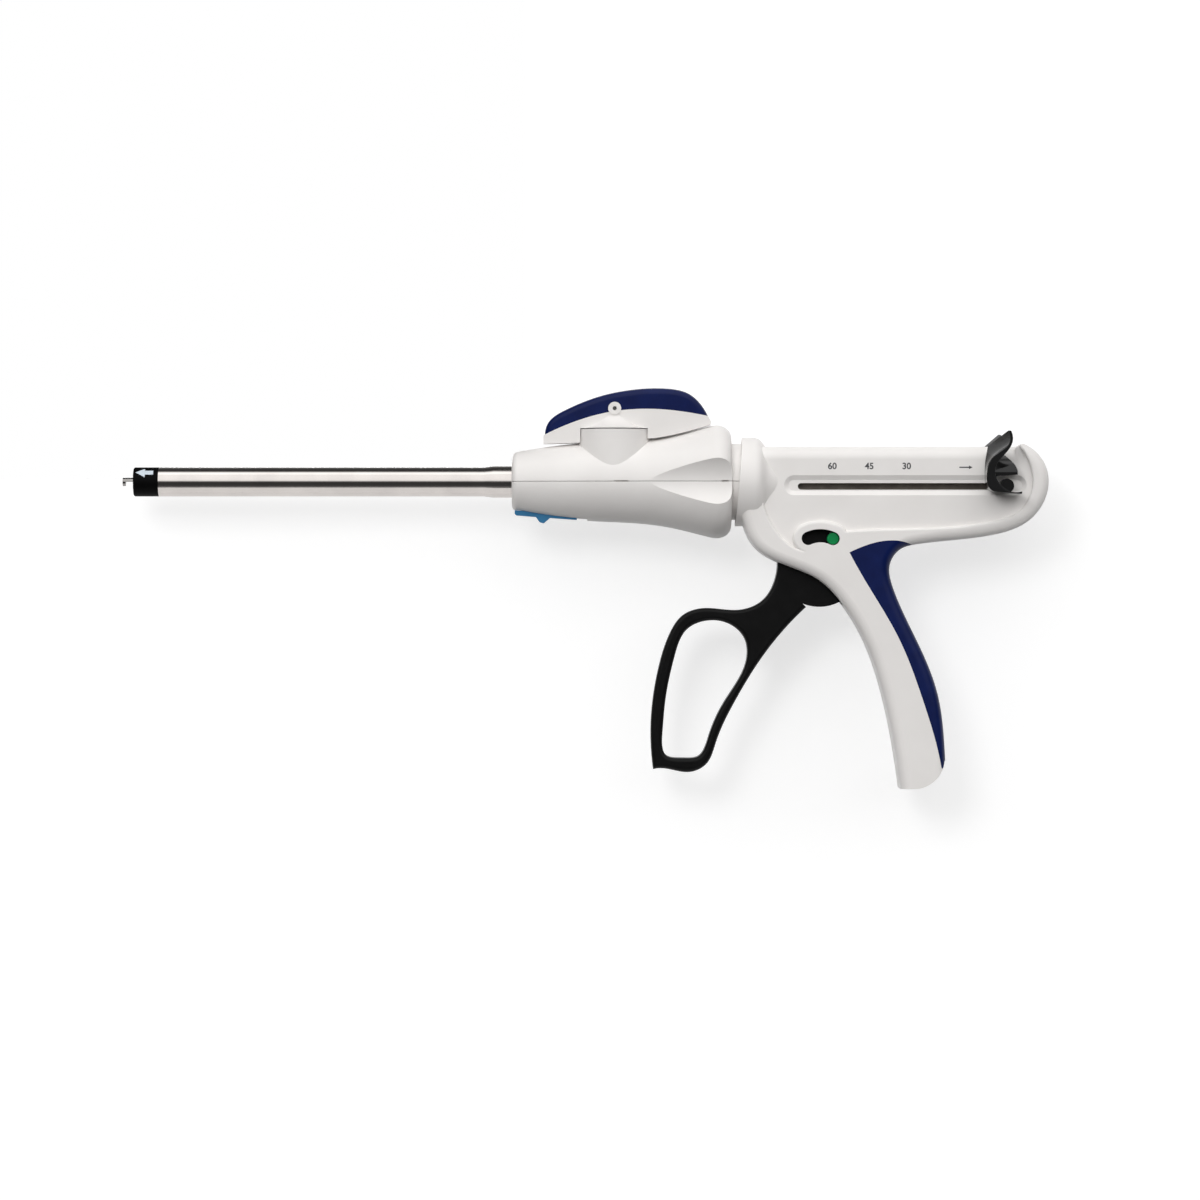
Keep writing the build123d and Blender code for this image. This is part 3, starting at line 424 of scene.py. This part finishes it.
def studio_world():
    """Soft tent whose light comes from in front and above. Past the stage the camera sees white."""
    world = bpy.data.worlds.new("studio")
    world.use_nodes = True
    nodes, links = world.node_tree.nodes, world.node_tree.links
    nodes.clear()
    output = nodes.new("ShaderNodeOutputWorld")
    mix = nodes.new("ShaderNodeMixShader")
    tent = nodes.new("ShaderNodeBackground")
    white = nodes.new("ShaderNodeBackground")
    white.inputs["Color"].default_value = (1.0, 1.0, 1.0, 1.0)
    path = nodes.new("ShaderNodeLightPath")
    place = nodes.new("ShaderNodeTexCoord")
    squeeze = nodes.new("ShaderNodeVectorMath")
    squeeze.operation = "MULTIPLY"
    squeeze.inputs[1].default_value = TENT_SQUEEZE
    unit = nodes.new("ShaderNodeVectorMath")
    unit.operation = "NORMALIZE"
    nearness = nodes.new("ShaderNodeVectorMath")
    nearness.operation = "DOT_PRODUCT"
    nearness.inputs[1].default_value = (0.0, -math.cos(TENT_HEIGHT), math.sin(TENT_HEIGHT))
    spread = nodes.new("ShaderNodeMapRange")
    spread.inputs["From Min"].default_value = -1.0
    ramp = nodes.new("ShaderNodeValToRGB")
    stops = ramp.color_ramp.elements
    for position, _ in TENT_TONES[1:-1]:
        stops.new(position)
    for stop, (_, tone) in zip(stops, TENT_TONES):
        stop.color = (tone, tone, tone, 1.0)
    links.new(place.outputs["Generated"], squeeze.inputs[0])
    links.new(squeeze.outputs["Vector"], unit.inputs[0])
    links.new(unit.outputs["Vector"], nearness.inputs[0])
    links.new(nearness.outputs["Value"], spread.inputs["Value"])
    links.new(spread.outputs["Result"], ramp.inputs["Fac"])
    links.new(ramp.outputs["Color"], tent.inputs["Color"])
    links.new(path.outputs["Is Camera Ray"], mix.inputs["Fac"])
    links.new(tent.outputs["Background"], mix.inputs[1])
    links.new(white.outputs["Background"], mix.inputs[2])
    links.new(mix.outputs["Shader"], output.inputs["Surface"])
    bpy.context.scene.world = world


def softbox(name, place, size, power, aim):
    lamp = bpy.data.lights.new(name, "AREA")
    lamp.shape = "RECTANGLE"
    lamp.size, lamp.size_y = size
    lamp.energy = power
    holder = bpy.data.objects.new(name, lamp)
    bpy.context.scene.collection.objects.link(holder)
    holder.location = place
    holder.visible_glossy = name != HIDDEN_IN_GLOSS
    direction = bpy.data.objects.new(name + "_aim", None)
    bpy.context.scene.collection.objects.link(direction)
    direction.location = aim
    track = holder.constraints.new("TRACK_TO")
    track.target = direction
    track.track_axis = "TRACK_NEGATIVE_Z"
    track.up_axis = "UP_Y"


def larger_of(nodes, links, first, second):
    larger = nodes.new("ShaderNodeMath")
    larger.operation = "MAXIMUM"
    links.new(first, larger.inputs[0])
    links.new(second, larger.inputs[1])
    return larger.outputs["Value"]


def stage_material(name, tone, glow):
    """Card that keeps shadows, is white to the camera and in gloss, and is clear from behind."""
    made = bpy.data.materials.new(name)
    made.use_nodes = True
    nodes, links = made.node_tree.nodes, made.node_tree.links
    nodes.clear()
    output = nodes.new("ShaderNodeOutputMaterial")
    card = nodes.new("ShaderNodeBsdfDiffuse")
    card.inputs["Color"].default_value = (tone, tone, tone, 1.0)
    lit = nodes.new("ShaderNodeEmission")
    path = nodes.new("ShaderNodeLightPath")
    both = nodes.new("ShaderNodeAddShader")
    clear = nodes.new("ShaderNodeBsdfTransparent")
    side = nodes.new("ShaderNodeNewGeometry")
    mix = nodes.new("ShaderNodeMixShader")
    seen = larger_of(nodes, links, path.outputs["Is Camera Ray"], path.outputs["Is Glossy Ray"])
    seen = larger_of(nodes, links, seen, path.outputs["Is Transmission Ray"])
    strength = nodes.new("ShaderNodeMath")
    strength.operation = "MULTIPLY"
    strength.inputs[1].default_value = glow
    through = larger_of(nodes, links, side.outputs["Backfacing"], path.outputs["Is Shadow Ray"])
    links.new(seen, strength.inputs[0])
    links.new(strength.outputs["Value"], lit.inputs["Strength"])
    links.new(card.outputs["BSDF"], both.inputs[0])
    links.new(lit.outputs["Emission"], both.inputs[1])
    links.new(through, mix.inputs["Fac"])
    links.new(both.outputs["Shader"], mix.inputs[1])
    links.new(clear.outputs["BSDF"], mix.inputs[2])
    links.new(mix.outputs["Shader"], output.inputs["Surface"])
    return made


def stage_plane(name, corners, look):
    mesh = bpy.data.meshes.new(name)
    mesh.from_pydata(corners, [], [(0, 1, 2, 3)])
    mesh.materials.append(look)
    plane = bpy.data.objects.new(name, mesh)
    bpy.context.scene.collection.objects.link(plane)


def build_stage():
    card = stage_material("backdrop_card", BACKDROP_TONE, BACKDROP_GLOW)
    reach = STAGE_REACH
    back = cad_box[1].y + BACKDROP_GAP
    for name, start, end, top in (("backdrop_low", -reach, BACKDROP_STEP, BACKDROP_LOW_TOP),
                                  ("backdrop_high", BACKDROP_STEP, reach, reach)):
        stage_plane(name, [(start, back, FLOOR_LEVEL), (end, back, FLOOR_LEVEL), (end, back, top),
                           (start, back, top)], card)
    ground = stage_material("floor_card", FLOOR_TONE, FLOOR_GLOW)
    stage_plane("floor", [(-reach, FLOOR_FRONT, FLOOR_LEVEL), (reach, FLOOR_FRONT, FLOOR_LEVEL),
                          (reach, reach, FLOOR_LEVEL), (-reach, reach, FLOOR_LEVEL)], ground)


def build_lights():
    aim = (CAMERA_AIM_X, 0.0, CAMERA_AIM_Z)
    for name, (place, size, power) in SOFTBOXES.items():
        softbox(name, place, size, power, aim)


def build_camera():
    lens = bpy.data.cameras.new("camera")
    lens.sensor_width = SENSOR_WIDTH
    lens.lens = SENSOR_WIDTH * CAMERA_DISTANCE / FRAME_WIDTH
    camera = bpy.data.objects.new("camera", lens)
    bpy.context.scene.collection.objects.link(camera)
    camera.location = (CAMERA_AIM_X, -CAMERA_DISTANCE, CAMERA_AIM_Z)
    camera.rotation_euler = (math.radians(90), 0.0, 0.0)
    bpy.context.scene.camera = camera


bpy.context.scene.view_settings.view_transform = "Standard"
build_camera()
dress_nodes()
panel_ink = grey_ink()
for figures, number_x in NUMBER_PLACES.items():
    printed_number(figures, number_x, panel_ink)
panel_arrow(panel_ink)
collar_arrow(white_ink())
slider_spring()
studio_world()
build_stage()
build_lights()
